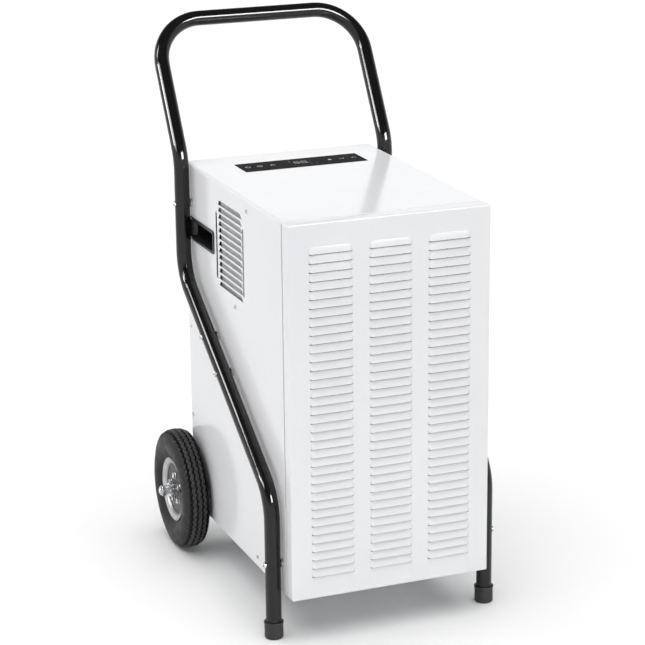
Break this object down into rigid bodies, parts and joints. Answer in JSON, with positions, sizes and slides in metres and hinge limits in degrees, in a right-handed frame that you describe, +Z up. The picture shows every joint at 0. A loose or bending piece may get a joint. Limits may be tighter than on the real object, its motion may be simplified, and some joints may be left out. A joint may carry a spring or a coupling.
{
  "type": "wheeled building dehumidifier",
  "caption": "Commercial condensing dehumidifier: louvred sheet-steel cabinet on a bent tube hand-truck frame with pneumatic wheels, side air outlets and a rear water tank.",
  "frame": {"origin": "on the floor under the middle of the whole machine", "axes": "+Z up, -Y towards the louvred front, +X to the right of someone facing the front"},
  "size_m": [0.498, 0.6368, 0.9729],
  "materials": {
    "white_coat": "gloss powder coat",
    "galvanised": "zinc spangle",
    "overlay_gloss": "gloss",
    "black_plastic": "satin",
    "board_green": "satin",
    "display_dark": "gloss",
    "grey_plastic": "satin",
    "capacitor_can": "satin",
    "black_gloss": "gloss powder coat",
    "cap_rubber": "matte",
    "zinc": "bright zinc",
    "filter_plastic": "satin",
    "fin_aluminium": "satin",
    "copper": "drawn",
    "fan_plastic": "satin",
    "motor_grey": "satin",
    "compressor_black": "satin",
    "mount_rubber": "matte",
    "tank_plastic": "satin",
    "float_plastic": "satin",
    "grip_plastic": "fine grain",
    "mesh_steel": "galvanised",
    "tyre_rubber": "matte",
    "rim_silver": "zinc plated",
    "valve_rubber": "matte"
  },
  "bodies": {
    "root": {"air_filter": "filter_plastic", "axle": "zinc", "axle_brackets": "galvanised", "axle_nuts": "zinc", "axle_spacers": "zinc", "base_tray": "galvanised", "cabinet_shell": "white_coat", "cable_gland": "black_plastic", "capillary_tube": "copper", "chamber_shelf": "galvanised", "compressor": "compressor_black", "compressor_bolts": "zinc", "compressor_mounts": "mount_rubber", "condenser_fins": "fin_aluminium", "condenser_tube": "copper", "control_board": "board_green", "control_housing": "black_plastic", "control_overlay": "overlay_gloss", "display_module": "display_dark", "drain_spout": "grey_plastic", "drip_tray": "grey_plastic", "electrics_box": "grey_plastic", "evaporator_fins": "fin_aluminium", "evaporator_tube": "copper", "fan_bulkhead": "galvanised", "fan_motor": "motor_grey", "fan_motor_bracket": "galvanised", "filter_drier": "copper", "float_switch": "black_plastic", "foot_caps": "cap_rubber", "frame_bolts": "zinc", "frame_spacers": "zinc", "front_panel": "white_coat", "handle_frame": "black_gloss", "panel_screws": "zinc", "rear_panel": "white_coat", "refrigerant_pipes": "copper", "run_capacitor": "capacitor_can", "side_grip_left": "grip_plastic", "side_grip_right": "grip_plastic", "suction_accumulator": "compressor_black", "tank_bay": "galvanised", "vent_mesh_left": "mesh_steel", "vent_mesh_right": "mesh_steel"},
    "wheel_left": {"tyre_left": "tyre_rubber", "rim_outer_left": "rim_silver", "rim_inner_left": "rim_silver", "wheel_hub_left": "zinc", "rim_bolts_left": "zinc", "valve_left": "valve_rubber"},
    "wheel_right": {"tyre_right": "tyre_rubber", "rim_outer_right": "rim_silver", "rim_inner_right": "rim_silver", "wheel_hub_right": "zinc", "rim_bolts_right": "zinc", "valve_right": "valve_rubber"},
    "fan": {"fan_impeller": "fan_plastic", "fan_shaft": "zinc"},
    "tank": {"water_tank": "tank_plastic"},
    "float": {"tank_float": "float_plastic"}
  },
  "joints": [
    {"name": "wheel_left_spin", "type": "hinge", "parent": "root", "child": "wheel_left", "pos_m": [-0.206, 0.18798, 0.1105], "axis": [1, 0, 0], "continuous": true},
    {"name": "wheel_right_spin", "type": "hinge", "parent": "root", "child": "wheel_right", "pos_m": [0.206, 0.18798, 0.1105], "axis": [1, 0, 0], "continuous": true},
    {"name": "fan_spin", "type": "hinge", "parent": "root", "child": "fan", "pos_m": [0, -0.12802, 0.545], "axis": [0, 1, 0], "continuous": true},
    {"name": "tank_slide", "type": "slide", "parent": "root", "child": "tank", "axis": [0, 1, 0], "range_m": [0, 0.17]},
    {"name": "float_rise", "type": "slide", "parent": "tank", "child": "float", "axis": [0, 0, 1], "range_m": [0, 0.14]}
  ]
}
